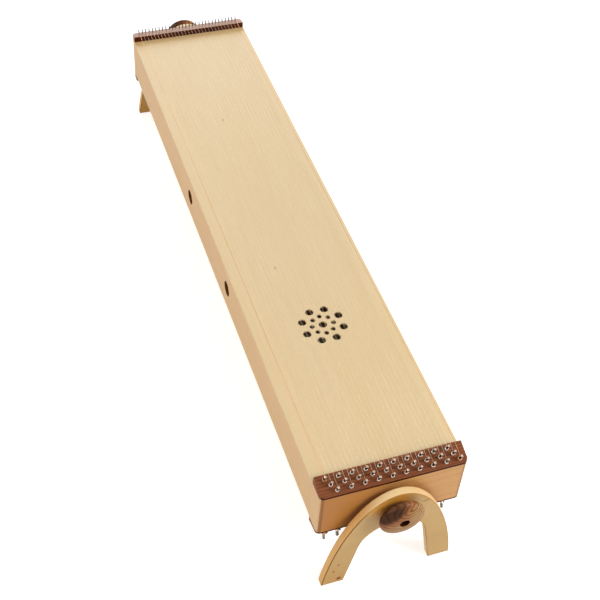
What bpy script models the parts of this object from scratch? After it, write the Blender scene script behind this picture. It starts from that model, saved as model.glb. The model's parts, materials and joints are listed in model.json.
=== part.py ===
# Monochord: a long string box with thirty strings on each face, standing on two arch feet.
# Metres, +Z up. X runs along the box towards the tuning pins, Z is zero on the floor.
# Each arch foot turns on a bolt in its end of the box, a little above the middle, and a hand knob clamps it.

import bpy
import bmesh
from math import asin, atan2, cos, pi, radians, sin, sqrt, tan
from mathutils import Matrix, Vector

# Clearance between pieces that touch, and how deep a piece sinks into one it is joined to
GAP = 0.0003
TURNING_GAP = 0.00015
JOINED_DEPTH = 0.002

# Box
BOX_LENGTH = 1.368
BOX_WIDTH = 0.270
BOX_HEIGHT = 0.100
CORNER_RADIUS = 0.009
BOX_MIDDLE = 0.190
BOARD_THICKNESS = 0.0035
SIDE_THICKNESS = 0.012
PIN_BLOCK_DEPTH = 0.050
HITCH_BLOCK_DEPTH = 0.035
LINING_WIDTH = 0.008
LINING_HEIGHT = 0.012
BRACE_WIDTH = 0.012
BRACE_HEIGHT = 0.018
BRACE_SPACING = 0.300
BRACE_ROW_SHIFT = -0.050
BRACE_COUNT = 4

# Sound holes; the rosette is one hole, a ring of small holes and a ring of large ones
ROSETTE_SETBACK = 0.369
ROSETTE_OUTER_RADIUS = 0.0392
ROSETTE_INNER_RADIUS = 0.0214
ROSETTE_HOLES_PER_RING = 8
LARGE_HOLE_DIAMETER = 0.016
SMALL_HOLE_DIAMETER = 0.010
SIDE_HOLE_DIAMETER = 0.032
NEAR_SIDE_HOLE_SETBACK = 0.552
FAR_SIDE_HOLE_SETBACK = 0.832

# Strips that carry the pins; each slopes down to its end of the box, and the heights are (inner, outer)
TUNING_STRIP_DEPTH = 0.038
TUNING_STRIP_HEIGHTS = {"top": (0.0180, 0.0052), "bottom": (0.0122, 0.0034)}
HITCH_STRIP_DEPTH = 0.024
HITCH_STRIP_HEIGHTS = (0.0134, 0.0090)
STRIP_EDGE_RADIUS = 0.0015

# Strings, spread between equal margins at the two sides
STRING_COUNT = 30
STRING_MARGIN = 0.015375
STRING_PITCH = (BOX_WIDTH - 2 * STRING_MARGIN) / (STRING_COUNT - 1)
STEEL_DIAMETER = 0.0005
BRONZE_DIAMETER = 0.0010

# Tuning pins, in rows across the wedge; the first row is nearest to the end of the box
PIN_ROWS = 3
PIN_FRONT_SETBACKS = {"top": 0.0075, "bottom": 0.0050}
PIN_ROW_SPACING = 0.0106
PIN_DIAMETER = 0.0050
PIN_HEIGHT = 0.0184
PIN_SEAT = 0.026
PIN_SQUARE = 0.0042
PIN_SQUARE_LENGTH = 0.009
COIL_WALL = 0.0009
COIL_LIFT = 0.0013
COIL_HEIGHT = 0.0050

# Hitch pins
HITCH_PIN_DIAMETER = 0.0022
HITCH_PIN_HEIGHT = 0.010
HITCH_PIN_SETBACK = 0.0075

# Arch feet, measured from the bolt's axis
AXIS_HEIGHT = 0.196
ARCH_STANDOFF = 0.010
ARCH_THICKNESS = 0.016
ARCH_CROWN = 0.042
ARCH_HALF_SPAN = 0.125
ARCH_OUTER_DROP = 0.306
ARCH_INNER_RADIUS = 0.064
ARCH_INNER_DROP = 0.104
LEG_FLARE = radians(11)
ARCH_EDGE = 0.0012

# Bolt, spacer, washer and knob
BOLT_DIAMETER = 0.010
BOLT_GRIP = 0.030
SPACER_DIAMETER = 0.044
WASHER_DIAMETER = 0.030
WASHER_THICKNESS = 0.0015
KNOB_DIAMETER = 0.0820
KNOB_FRONT_BULGE = 0.0136
KNOB_BACK_BULGE = 0.0181
KNOB_RIM_HEIGHT = 0.0153
KNOB_HOLE_DIAMETER = 0.018
INSERT_DIAMETER = 0.015
INSERT_LENGTH = 0.015

# Counts that set how finely round shapes are drawn
PIN_SIDES = 8
BORE_SIDES = 6
HOLE_SIDES = 12
BOLT_SIDES = 12
TURNED_STEPS = 18

BOARD_TOP = BOX_HEIGHT / 2
RIM_TOP = BOARD_TOP - BOARD_THICKNESS
WOOD_TOP = RIM_TOP - GAP
NEAR_END = BOX_LENGTH / 2
FAR_END = -BOX_LENGTH / 2
PIN_LEAN = atan2(TUNING_STRIP_HEIGHTS["top"][0] - TUNING_STRIP_HEIGHTS["top"][1], TUNING_STRIP_DEPTH)
HITCH_SLOPE = atan2(HITCH_STRIP_HEIGHTS[0] - HITCH_STRIP_HEIGHTS[1], HITCH_STRIP_DEPTH)
COIL_RADIUS = PIN_DIAMETER / 2 + COIL_WALL
BOX_CENTRE = Vector((0, 0, BOX_MIDDLE))
TURN_OVER = Matrix.Rotation(pi, 4, "X")


# Scene

for old in list(bpy.data.objects):
    bpy.data.objects.remove(old, do_unlink=True)

parts = bpy.data.collections.new("monochord")
cutters = bpy.data.collections.new("cutters")
bpy.context.scene.collection.children.link(parts)
bpy.context.scene.collection.children.link(cutters)


def make_material(name, colour, roughness, metallic=0.0):
    material = bpy.data.materials.new(name)
    material.use_nodes = True
    shader = material.node_tree.nodes["Principled BSDF"]
    shader.inputs["Base Color"].default_value = (*colour, 1)
    shader.inputs["Roughness"].default_value = roughness
    shader.inputs["Metallic"].default_value = metallic
    return material


spruce = make_material("spruce", (0.82, 0.66, 0.42), 0.45)
alder = make_material("alder", (0.62, 0.36, 0.18), 0.45)
walnut = make_material("walnut", (0.13, 0.05, 0.03), 0.40)
birch = make_material("birch", (0.72, 0.50, 0.24), 0.40)
striped_wood = make_material("striped_wood", (0.20, 0.11, 0.06), 0.25)
nickel = make_material("nickel", (0.72, 0.71, 0.68), 0.22, 1.0)
bronze = make_material("bronze", (0.70, 0.38, 0.20), 0.30, 1.0)


def add_object(name, data, material, place, collection=parts):
    obj = bpy.data.objects.new(name, data)
    obj.matrix_world = place
    if material and not data.materials:
        data.materials.append(material)
    collection.objects.link(obj)
    if collection == cutters:
        obj.hide_render = True
        obj.display_type = "WIRE"
    return obj


def finish_mesh(bm, name, smooth=False):
    bmesh.ops.recalc_face_normals(bm, faces=bm.faces)
    mesh = bpy.data.meshes.new(name)
    bm.to_mesh(mesh)
    bm.free()
    if smooth:
        mesh.shade_smooth()
        mesh.set_sharp_from_angle(angle=radians(35))
    return mesh


def combine(obj, helper, operation):
    boolean = obj.modifiers.new(helper.name, "BOOLEAN")
    boolean.operation = operation
    boolean.object = helper


def cut(obj, cutter):
    combine(obj, cutter, "DIFFERENCE")


def join(obj, piece):
    combine(obj, piece, "UNION")


# Places

at_box = Matrix.Translation(BOX_CENTRE)
faces = {"top": at_box, "bottom": at_box @ TURN_OVER}


def end_place(direction):
    """Local Z points out of the end of the box along the bolt, and local Y points up."""
    turn = Matrix.Rotation(direction * pi / 2, 4, "Z") @ Matrix.Rotation(pi / 2, 4, "X")
    return Matrix.Translation((direction * BOX_LENGTH / 2, 0, AXIS_HEIGHT)) @ turn


# Mesh helpers

def add_box(bm, low, high):
    size = Vector(high) - Vector(low)
    middle = (Vector(high) + Vector(low)) / 2
    place = Matrix.Translation(middle) @ Matrix.Diagonal((*size, 1))
    bmesh.ops.create_cube(bm, size=1, matrix=place)


def add_cylinder(bm, radius, low, high, sides, place=Matrix()):
    middle = Matrix.Translation((0, 0, (low + high) / 2))
    bmesh.ops.create_cone(
        bm, cap_ends=True, segments=sides, radius1=radius, radius2=radius,
        depth=high - low, matrix=place @ middle,
    )


def hole_radius(radius, clearance, sides):
    """The radius of a hole's corners that keeps its flats clear of a round piece."""
    return (radius + clearance) / cos(pi / sides)


def corner_arc(middle_x, middle_y, radius, start, steps=4):
    turns = [start + pi / 2 * step / steps for step in range(steps + 1)]
    return [(middle_x + radius * cos(turn), middle_y + radius * sin(turn)) for turn in turns]


def end_outline(inner_x, outer_x, inner_radius):
    """Plan of a piece across one end of the box, rounded at the box's own corners."""
    direction = 1 if outer_x > inner_x else -1
    half = BOX_WIDTH / 2
    outer = corner_arc(outer_x - direction * CORNER_RADIUS, half - CORNER_RADIUS, CORNER_RADIUS,
                       0 if direction > 0 else pi / 2)
    inner = corner_arc(inner_x + direction * inner_radius, half - inner_radius, inner_radius,
                       pi / 2 if direction > 0 else 0, 2)
    right = outer + inner if direction > 0 else inner + outer
    return right + [(x, -y) for x, y in reversed(right)]


def add_prism(bm, outline, low, top_height):
    """An outline in plan, drawn up from one height to a top whose height follows x."""
    floor = bm.faces.new([bm.verts.new((x, y, low)) for x, y in outline])
    grown = bmesh.ops.extrude_face_region(bm, geom=[floor])["geom"]
    for vert in grown:
        if isinstance(vert, bmesh.types.BMVert):
            vert.co.z = top_height(vert.co.x)


# Box of wood

def make_ends():
    """Each end block reaches up to its strip, with a rebate in both faces for the end of the soundboard."""
    ends = {}
    top = BOARD_TOP - GAP
    for name, inner_x, strip_x, outer_x in (
        ("near_pin_block", NEAR_END - PIN_BLOCK_DEPTH, NEAR_END - TUNING_STRIP_DEPTH, NEAR_END),
        ("far_hitch_block", FAR_END + HITCH_BLOCK_DEPTH, FAR_END + HITCH_STRIP_DEPTH, FAR_END),
    ):
        bm = bmesh.new()
        add_prism(bm, end_outline(inner_x, outer_x, STRIP_EDGE_RADIUS), -top, lambda x: top)
        ends[name] = add_object(name, finish_mesh(bm, name), alder, at_box)
        rebates = bmesh.new()
        past_block = 2 * inner_x - strip_x
        low_x, high_x = sorted((strip_x, past_block))
        for low, high in ((WOOD_TOP, BOX_HEIGHT), (-BOX_HEIGHT, -WOOD_TOP)):
            add_box(rebates, (low_x, -BOX_WIDTH, low), (high_x, BOX_WIDTH, high))
        rebate_name = name + "_rebates"
        cut(ends[name], add_object(rebate_name, finish_mesh(rebates, rebate_name), None, at_box, cutters))
    return ends


def make_sides():
    low_x = FAR_END + HITCH_BLOCK_DEPTH + GAP
    high_x = NEAR_END - PIN_BLOCK_DEPTH - GAP
    for name, outer_y, inner_y in (
        ("left_side", -BOX_WIDTH / 2, -BOX_WIDTH / 2 + SIDE_THICKNESS),
        ("right_side", BOX_WIDTH / 2, BOX_WIDTH / 2 - SIDE_THICKNESS),
    ):
        bm = bmesh.new()
        add_box(bm, (low_x, min(outer_y, inner_y), -WOOD_TOP), (high_x, max(outer_y, inner_y), WOOD_TOP))
        side = add_object(name, finish_mesh(bm, name), alder, at_box)
        if name == "left_side":
            cut(side, make_side_hole_cutter())


def make_side_hole_cutter():
    bm = bmesh.new()
    for setback in (NEAR_SIDE_HOLE_SETBACK, FAR_SIDE_HOLE_SETBACK):
        across = Matrix.Translation((NEAR_END - setback, -BOX_WIDTH / 2, 0)) @ Matrix.Rotation(pi / 2, 4, "X")
        add_cylinder(bm, SIDE_HOLE_DIAMETER / 2, -SIDE_THICKNESS * 2, SIDE_THICKNESS, 2 * HOLE_SIDES, across)
    return add_object("side_hole_cutter", finish_mesh(bm, "side_hole_cutter"), None, at_box, cutters)


def make_brace_frames():
    """Under each soundboard, two linings along the sides with the cross braces glued between them."""
    inner_y = BOX_WIDTH / 2 - SIDE_THICKNESS - GAP
    low_x = FAR_END + HITCH_BLOCK_DEPTH + GAP
    high_x = NEAR_END - PIN_BLOCK_DEPTH - GAP
    reach = inner_y - LINING_WIDTH / 2
    for face, place in faces.items():
        bm = bmesh.new()
        for y in (-inner_y, inner_y - LINING_WIDTH):
            add_box(bm, (low_x, y, WOOD_TOP - LINING_HEIGHT), (high_x, y + LINING_WIDTH, WOOD_TOP))
        braces = bmesh.new()
        for number in range(BRACE_COUNT):
            x = BRACE_ROW_SHIFT + (number - (BRACE_COUNT - 1) / 2) * BRACE_SPACING
            add_box(braces, (x - BRACE_WIDTH / 2, -reach, WOOD_TOP - BRACE_HEIGHT),
                    (x + BRACE_WIDTH / 2, reach, WOOD_TOP))
        name = face + "_brace_frame"
        frame = add_object(name, finish_mesh(bm, name), spruce, place)
        brace_name = face + "_braces"
        join(frame, add_object(brace_name, finish_mesh(braces, brace_name), None, place, cutters))


def make_rosette_cutter():
    bm = bmesh.new()
    middle = Matrix.Translation((NEAR_END - ROSETTE_SETBACK, 0, 0))
    low, high = RIM_TOP - BOARD_THICKNESS, BOARD_TOP + BOARD_THICKNESS
    add_cylinder(bm, LARGE_HOLE_DIAMETER / 2, low, high, HOLE_SIDES, middle)
    step = 2 * pi / ROSETTE_HOLES_PER_RING
    rings = (
        (ROSETTE_INNER_RADIUS, SMALL_HOLE_DIAMETER, 0, HOLE_SIDES - 2),
        (ROSETTE_OUTER_RADIUS, LARGE_HOLE_DIAMETER, step / 2, HOLE_SIDES),
    )
    for ring_radius, diameter, start, sides in rings:
        for hole in range(ROSETTE_HOLES_PER_RING):
            turn = Matrix.Rotation(start + hole * step, 4, "Z")
            place = middle @ turn @ Matrix.Translation((ring_radius, 0, 0))
            add_cylinder(bm, diameter / 2, low, high, sides, place)
    return add_object("rosette_cutter", finish_mesh(bm, "rosette_cutter"), None, faces["top"], cutters)


def make_soundboards():
    low_x = FAR_END + HITCH_STRIP_DEPTH + GAP
    high_x = NEAR_END - TUNING_STRIP_DEPTH - GAP
    for face, place in faces.items():
        bm = bmesh.new()
        add_box(bm, (low_x, -BOX_WIDTH / 2, RIM_TOP), (high_x, BOX_WIDTH / 2, BOARD_TOP))
        name = face + "_soundboard"
        board = add_object(name, finish_mesh(bm, name), spruce, place)
        if face == "top":
            cut(board, make_rosette_cutter())


# Strips

def wedge_top(x, face="top"):
    """Height of the tuning strip's sloping top above the middle of the box."""
    inner, outer = TUNING_STRIP_HEIGHTS[face]
    return BOARD_TOP + outer + (inner - outer) * (NEAR_END - x) / TUNING_STRIP_DEPTH


def hitch_top(x, face="top"):
    """The same for the hitch strip, which is alike on both faces and slopes down to the other end."""
    return BOARD_TOP + HITCH_STRIP_HEIGHTS[1] + (x - FAR_END) * tan(HITCH_SLOPE)


def make_strip(kind, inner_x, outer_x, top_height):
    strips = {}
    for face, place in faces.items():
        name = face + "_" + kind + "_strip"
        bm = bmesh.new()
        add_prism(bm, end_outline(inner_x, outer_x, STRIP_EDGE_RADIUS), BOARD_TOP,
                  lambda x: top_height(x, face))
        top_edges = [edge for edge in bm.edges if all(vert.co.z > BOARD_TOP + GAP for vert in edge.verts)]
        bmesh.ops.bevel(bm, geom=top_edges, offset=STRIP_EDGE_RADIUS, segments=1, affect="EDGES",
                        clamp_overlap=True)
        strips[face] = add_object(name, finish_mesh(bm, name), walnut, place)
    return strips


# Pins

def string_y(index):
    return (index - (STRING_COUNT - 1) / 2) * STRING_PITCH


def pin_foot(index, face="top"):
    """Where a tuning pin leaves the wood, from the middle of the box."""
    row = PIN_ROWS - 1 - index % PIN_ROWS
    x = NEAR_END - PIN_FRONT_SETBACKS[face] - row * PIN_ROW_SPACING
    return Vector((x, string_y(index), wedge_top(x, face)))


def pin_place(index, face="top"):
    """Local Z runs up the pin, square to the top wedge; each head is left at its own angle."""
    golden_angle = pi * (3 - sqrt(5))
    lean = Matrix.Rotation(PIN_LEAN, 4, "Y")
    return Matrix.Translation(pin_foot(index, face)) @ lean @ Matrix.Rotation(index * golden_angle, 4, "Z")


def squared(angle):
    """How far a corner of the pin's ring moves out when the ring becomes a square."""
    return 1 / max(abs(cos(angle)), abs(sin(angle)))


def grow_pin(bm, levels, place=Matrix()):
    """A pin drawn up from its point through its levels: (height, radius, whether it is square)."""
    ring = bmesh.ops.create_circle(bm, cap_ends=True, segments=PIN_SIDES, radius=1, matrix=place)["verts"]
    face = ring[0].link_faces[0]
    back = place.inverted()
    for number, (height, radius, is_square) in enumerate(levels):
        if number:
            grown = bmesh.ops.extrude_face_region(bm, geom=[face])["geom"]
            if number > 1:
                bmesh.ops.delete(bm, geom=[face], context="FACES_ONLY")
            face = next(item for item in grown if isinstance(item, bmesh.types.BMFace))
        for vert in face.verts:
            local = back @ vert.co
            angle = atan2(local.y, local.x)
            reach = radius * (squared(angle) if is_square else 1)
            vert.co = place @ Vector((reach * cos(angle), reach * sin(angle), height))


def pin_above_coil():
    coil_top = COIL_LIFT + COIL_HEIGHT
    square_low = PIN_HEIGHT - PIN_SQUARE_LENGTH
    return [(coil_top, COIL_RADIUS, False), (coil_top, PIN_DIAMETER / 2, False),
            (square_low, PIN_SQUARE / 2, True), (PIN_HEIGHT, PIN_SQUARE / 2, True)]


def make_top_tuning_pins():
    shaft = PIN_DIAMETER / 2
    seated = [(-PIN_SEAT, shaft, False), (COIL_LIFT, shaft, False), (COIL_LIFT, COIL_RADIUS, False)]
    bm = bmesh.new()
    grow_pin(bm, seated + pin_above_coil())
    one_pin = finish_mesh(bm, "tuning_pin", True)
    for index in range(STRING_COUNT):
        name = "tuning_pin_" + str(index + 1).zfill(2)
        add_object(name, one_pin, nickel, faces["top"] @ pin_place(index))


def make_bottom_tuning_pins():
    """The bottom pins are drawn at rest only, as one body with the strip that holds them."""
    bm = bmesh.new()
    for index in range(STRING_COUNT):
        grow_pin(bm, [(-JOINED_DEPTH, COIL_RADIUS, False)] + pin_above_coil(), pin_place(index, "bottom"))
    name = "bottom_tuning_pins"
    return add_object(name, finish_mesh(bm, name), None, faces["bottom"], cutters)


def make_tuning_bores():
    bm = bmesh.new()
    radius = hole_radius(PIN_DIAMETER / 2, TURNING_GAP, BORE_SIDES)
    for index in range(STRING_COUNT):
        add_cylinder(bm, radius, -PIN_SEAT - GAP, PIN_HEIGHT, BORE_SIDES, pin_place(index))
    return add_object("tuning_bores", finish_mesh(bm, "tuning_bores"), None, faces["top"], cutters)


def hitch_pin_place(index):
    """Local Z runs up the pin, square to the strip, so that it leans away from the pull of its string."""
    x = FAR_END + HITCH_PIN_SETBACK
    return Matrix.Translation((x, string_y(index), hitch_top(x))) @ Matrix.Rotation(-HITCH_SLOPE, 4, "Y")


def make_hitch_pins(face):
    bm = bmesh.new()
    for index in range(STRING_COUNT):
        add_cylinder(bm, HITCH_PIN_DIAMETER / 2, -JOINED_DEPTH, HITCH_PIN_HEIGHT, BORE_SIDES,
                     hitch_pin_place(index))
    name = face + "_hitch_pins"
    return add_object(name, finish_mesh(bm, name), None, faces[face], cutters)


# Strings

def string_route(index, radius, from_pin, face):
    """From the hitch pin, over the inner edges of both strips, to the lowest turn on its tuning pin."""
    lift = radius + GAP
    start = hitch_pin_place(index) @ Vector((from_pin, 0, lift))
    hitch_crest = FAR_END + HITCH_STRIP_DEPTH - STRIP_EDGE_RADIUS
    wedge_crest = NEAR_END - TUNING_STRIP_DEPTH + STRIP_EDGE_RADIUS
    side = Vector((0, COIL_RADIUS + radius + GAP, 0))
    along_pin = Matrix.Rotation(PIN_LEAN, 3, "Y") @ Vector((0, 0, COIL_LIFT + radius))
    end = pin_foot(index, face) + along_pin + side
    return [start, Vector((hitch_crest, start.y, hitch_top(hitch_crest) + lift)),
            Vector((wedge_crest, end.y, wedge_top(wedge_crest, face) + lift)), end]


def make_strings(name, indices, diameter, from_pin, face, material, collection=parts):
    curve = bpy.data.curves.new(name, "CURVE")
    curve.dimensions = "3D"
    curve.bevel_depth = diameter / 2
    curve.bevel_resolution = 0
    curve.use_fill_caps = True
    for index in indices:
        route = string_route(index, diameter / 2, from_pin, face)
        spline = curve.splines.new("POLY")
        spline.points.add(len(route) - 1)
        for point, spot in zip(spline.points, route):
            point.co = (*spot, 1)
    return add_object(name, curve, material, faces[face], collection)


def curve_to_mesh(obj):
    """A Boolean takes only a mesh, whose caps have to be welded to its sides."""
    graph = bpy.context.evaluated_depsgraph_get()
    mesh = bpy.data.meshes.new_from_object(obj.evaluated_get(graph))
    bm = bmesh.new()
    bm.from_mesh(mesh)
    bmesh.ops.remove_doubles(bm, verts=bm.verts, dist=0.00001)
    bm.to_mesh(mesh)
    bm.free()
    made = add_object(obj.name, mesh, None, obj.matrix_world.copy(), cutters)
    bpy.data.objects.remove(obj, do_unlink=True)
    return made


def make_string_sets():
    """The plain strings are one body with the strip whose hitch pins hold them; the outer two are apart."""
    last = STRING_COUNT - 1
    beside_pin = HITCH_PIN_DIAMETER / 2 + GAP
    for face in faces:
        strip = hitch_strips[face]
        join(strip, make_hitch_pins(face))
        plain = make_strings(face + "_plain_strings", range(1, last), STEEL_DIAMETER, 0, face, None, cutters)
        join(strip, curve_to_mesh(plain))
        left, right = (0, last) if face == "top" else (last, 0)
        for hand, index in (("left", left), ("right", right)):
            name = face + "_" + hand + "_bronze_string"
            make_strings(name, [index], BRONZE_DIAMETER, beside_pin, face, bronze)


# Arch feet, bolts and knobs, each along local Z out of the end of the box

ARCH_FRONT = ARCH_STANDOFF + ARCH_THICKNESS
KNOB_BACK = ARCH_FRONT + WASHER_THICKNESS + 2 * GAP
BOLT_BORE = hole_radius(BOLT_DIAMETER / 2, GAP, BOLT_SIDES)


def arch_outline(outer_steps=23, inner_steps=14):
    """An elliptical back over a round arch whose legs run on straight, each at the same flare."""
    height = ARCH_CROWN + ARCH_OUTER_DROP
    foot_turn = asin((ARCH_OUTER_DROP - AXIS_HEIGHT) / height)
    half_width = ARCH_HALF_SPAN / cos(foot_turn)
    outer = []
    for step in range(outer_steps + 1):
        turn = foot_turn + (pi - 2 * foot_turn) * step / outer_steps
        outer.append((half_width * cos(turn), -ARCH_OUTER_DROP + height * sin(turn)))
    inner = []
    for step in range(inner_steps + 1):
        turn = pi - LEG_FLARE - (pi - 2 * LEG_FLARE) * step / inner_steps
        inner.append((ARCH_INNER_RADIUS * cos(turn), -ARCH_INNER_DROP + ARCH_INNER_RADIUS * sin(turn)))
    foot_x = inner[-1][0] + (inner[-1][1] + AXIS_HEIGHT) * tan(LEG_FLARE)
    return outer + [(-foot_x, -AXIS_HEIGHT)] + inner + [(foot_x, -AXIS_HEIGHT)]


def add_flat_spline(curve, outline):
    spline = curve.splines.new("POLY")
    spline.points.add(len(outline) - 1)
    for point, (x, y) in zip(spline.points, outline):
        point.co = (x, y, 0, 1)
    spline.use_cyclic_u = True


def make_arch(name, place):
    curve = bpy.data.curves.new(name, "CURVE")
    curve.dimensions = "2D"
    curve.fill_mode = "BOTH"
    curve.extrude = ARCH_THICKNESS / 2
    add_flat_spline(curve, arch_outline())
    turns = [2 * pi * step / BOLT_SIDES for step in range(BOLT_SIDES)]
    add_flat_spline(curve, [(BOLT_BORE * cos(turn), BOLT_BORE * sin(turn)) for turn in turns])
    middle = Matrix.Translation((0, 0, ARCH_STANDOFF + ARCH_THICKNESS / 2))
    arch = add_object(name, curve, birch, place @ middle)
    weld = arch.modifiers.new("weld", "WELD")
    weld.merge_threshold = 0.00005
    bevel = arch.modifiers.new("eased_edges", "BEVEL")
    bevel.width = ARCH_EDGE
    bevel.segments = 1
    bevel.limit_method = "ANGLE"
    bevel.angle_limit = radians(50)


def turn_profile(name, profile, steps, material, place):
    """A closed profile at +X, outer side first from top to bottom, turned about local Z."""
    mesh = bpy.data.meshes.new(name)
    edges = [(here, (here + 1) % len(profile)) for here in range(len(profile))]
    mesh.from_pydata([(x, 0, z) for x, z in profile], edges, [])
    obj = add_object(name, mesh, material, place)
    screw = obj.modifiers.new("turn", "SCREW")
    screw.axis = "Z"
    screw.steps = steps
    screw.render_steps = steps
    screw.use_merge_vertices = True
    screw.merge_threshold = 0.00001
    return obj


def ring_profile(outer, inner, low, high):
    return [(outer, high), (outer, low), (inner, low), (inner, high)]


def knob_profile(front_steps=7, back_steps=3):
    """A lens with a flat back, a blind hole in its front and a pocket for the insert in its back."""
    radius = KNOB_DIAMETER / 2
    hole = KNOB_HOLE_DIAMETER / 2
    first = asin(hole / radius)
    last = asin(KNOB_RIM_HEIGHT / KNOB_BACK_BULGE)
    front = [first + (pi / 2 - first) * step / front_steps for step in range(front_steps + 1)]
    back = [last * (step + 1) / back_steps for step in range(back_steps)]
    rim = KNOB_BACK + KNOB_RIM_HEIGHT
    shell = [(radius * sin(turn), rim + KNOB_FRONT_BULGE * cos(turn)) for turn in front]
    shell += [(radius * cos(turn), rim - KNOB_BACK_BULGE * sin(turn)) for turn in back]
    pocket = INSERT_DIAMETER / 2 + GAP
    shoulder = KNOB_BACK + INSERT_LENGTH
    return shell + [(pocket, KNOB_BACK), (pocket, shoulder), (hole, shoulder)]


def make_foot(end, direction, block):
    place = end_place(direction)
    bm = bmesh.new()
    add_cylinder(bm, BOLT_BORE, -BOLT_GRIP - GAP, BOLT_DIAMETER, BOLT_SIDES)
    bore_name = end + "_bolt_bore"
    cut(block, add_object(bore_name, finish_mesh(bm, bore_name), None, place, cutters))
    bm = bmesh.new()
    add_cylinder(bm, BOLT_DIAMETER / 2, -BOLT_GRIP, KNOB_BACK + INSERT_LENGTH - GAP, BOLT_SIDES)
    bolt_name = end + "_bolt"
    add_object(bolt_name, finish_mesh(bm, bolt_name, True), nickel, place)
    make_arch(end + "_arch", place)
    spacer = ring_profile(SPACER_DIAMETER / 2, BOLT_BORE, GAP, ARCH_STANDOFF - GAP)
    washer = ring_profile(WASHER_DIAMETER / 2, BOLT_BORE, ARCH_FRONT + GAP, KNOB_BACK - GAP)
    insert = ring_profile(INSERT_DIAMETER / 2, BOLT_BORE, KNOB_BACK, KNOB_BACK + INSERT_LENGTH - GAP)
    turn_profile(end + "_spacer", spacer, TURNED_STEPS, walnut, place)
    turn_profile(end + "_washer", washer, TURNED_STEPS, nickel, place)
    turn_profile(end + "_knob", knob_profile(), TURNED_STEPS, striped_wood, place)
    turn_profile(end + "_knob_insert", insert, TURNED_STEPS, nickel, place)


# Assembly

blocks = make_ends()
make_sides()
make_brace_frames()
make_soundboards()
tuning_strips = make_strip("tuning", NEAR_END - TUNING_STRIP_DEPTH, NEAR_END, wedge_top)
hitch_strips = make_strip("hitch", FAR_END + HITCH_STRIP_DEPTH, FAR_END, hitch_top)
tuning_bores = make_tuning_bores()
cut(tuning_strips["top"], tuning_bores)
cut(blocks["near_pin_block"], tuning_bores)
join(tuning_strips["bottom"], make_bottom_tuning_pins())
make_top_tuning_pins()
make_string_sets()
make_foot("near", 1, blocks["near_pin_block"])
make_foot("far", -1, blocks["far_hitch_block"])
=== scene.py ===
# Monochord: finishes, strings, pins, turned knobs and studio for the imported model
import json
from math import asin, atan2, cos, pi, radians, sin, sqrt, tan

import bmesh
import bpy
from mathutils import Matrix, Vector


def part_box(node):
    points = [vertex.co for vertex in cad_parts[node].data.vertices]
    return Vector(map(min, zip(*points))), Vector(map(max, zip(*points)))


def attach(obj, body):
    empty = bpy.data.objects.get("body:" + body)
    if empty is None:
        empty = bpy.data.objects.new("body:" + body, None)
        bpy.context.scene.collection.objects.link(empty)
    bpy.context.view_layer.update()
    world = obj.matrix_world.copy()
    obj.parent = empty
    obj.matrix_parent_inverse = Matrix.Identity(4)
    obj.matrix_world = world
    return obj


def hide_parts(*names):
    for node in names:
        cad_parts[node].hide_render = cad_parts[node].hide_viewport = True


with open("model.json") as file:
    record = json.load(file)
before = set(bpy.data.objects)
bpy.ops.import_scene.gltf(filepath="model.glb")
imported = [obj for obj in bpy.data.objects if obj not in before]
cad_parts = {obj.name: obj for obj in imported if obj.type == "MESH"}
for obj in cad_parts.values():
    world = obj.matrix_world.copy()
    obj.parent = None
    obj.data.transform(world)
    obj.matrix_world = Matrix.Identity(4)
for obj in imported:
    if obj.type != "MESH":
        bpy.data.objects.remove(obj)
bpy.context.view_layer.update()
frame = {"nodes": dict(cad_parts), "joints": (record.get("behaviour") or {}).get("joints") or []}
joints = {joint["name"]: joint for joint in frame["joints"]}
mm = 0.001
print("frame loaded:", len(frame["nodes"]), "nodes")

# Measures that several pieces share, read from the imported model
blockLow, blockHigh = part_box("near_pin_block")
nearEnd = blockHigh.x
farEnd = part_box("far_hitch_block")[0].x
halfWidth = blockHigh.y
boxMiddle = (blockLow.z + blockHigh.z) / 2
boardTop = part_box("top_soundboard")[1].z
boltHeight = joints["near_arch_swivel"]["pos_m"][2]
raiseBox = Matrix.Translation((0, 0, boxMiddle))
turnOver = raiseBox @ Matrix.Rotation(pi, 4, "X") @ raiseBox.inverted()
faces = (("top", Matrix()), ("bottom", turnOver))


# Shader helpers

def toLinear(hexColour):
    values = [int(hexColour[place:place + 2], 16) / 255 for place in (1, 3, 5)]
    return tuple(v / 12.92 if v <= 0.04045 else ((v + 0.055) / 1.055) ** 2.4 for v in values) + (1.0,)


def addNode(tree, kind, settings=None, **inputs):
    # An input is named by its socket, or by i and its number
    node = tree.nodes.new(kind)
    for name, value in (settings or {}).items():
        setattr(node, name, value)
    for name, value in inputs.items():
        key = int(name[1:]) if name[0] == "i" and name[1:].isdigit() else name.replace("_", " ")
        if isinstance(value, bpy.types.NodeSocket):
            tree.links.new(value, node.inputs[key])
        else:
            node.inputs[key].default_value = value
    return node


def newMaterial(name, **shaderValues):
    material = bpy.data.materials.new(name)
    material.use_nodes = True
    shader = material.node_tree.nodes["Principled BSDF"]
    for key, value in shaderValues.items():
        shader.inputs[key.replace("_", " ")].default_value = value
    return material, material.node_tree, shader


def math(tree, operation, first, second=0.0):
    return addNode(tree, "ShaderNodeMath", {"operation": operation}, i0=first, i1=second).outputs[0]


def remap(tree, value, low, high, newLow=0.0, newHigh=1.0, smooth=False):
    settings = {"interpolation_type": "SMOOTHSTEP"} if smooth else {}
    return addNode(tree, "ShaderNodeMapRange", settings,
                   i0=value, i1=low, i2=high, i3=newLow, i4=newHigh).outputs[0]


def mixColours(tree, share, first, second):
    mix = addNode(tree, "ShaderNodeMix", {"data_type": "RGBA"}, Factor=share)
    for socket, value in ((mix.inputs[6], first), (mix.inputs[7], second)):
        if isinstance(value, bpy.types.NodeSocket):
            tree.links.new(value, socket)
        else:
            socket.default_value = value
    return mix.outputs[2]


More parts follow.
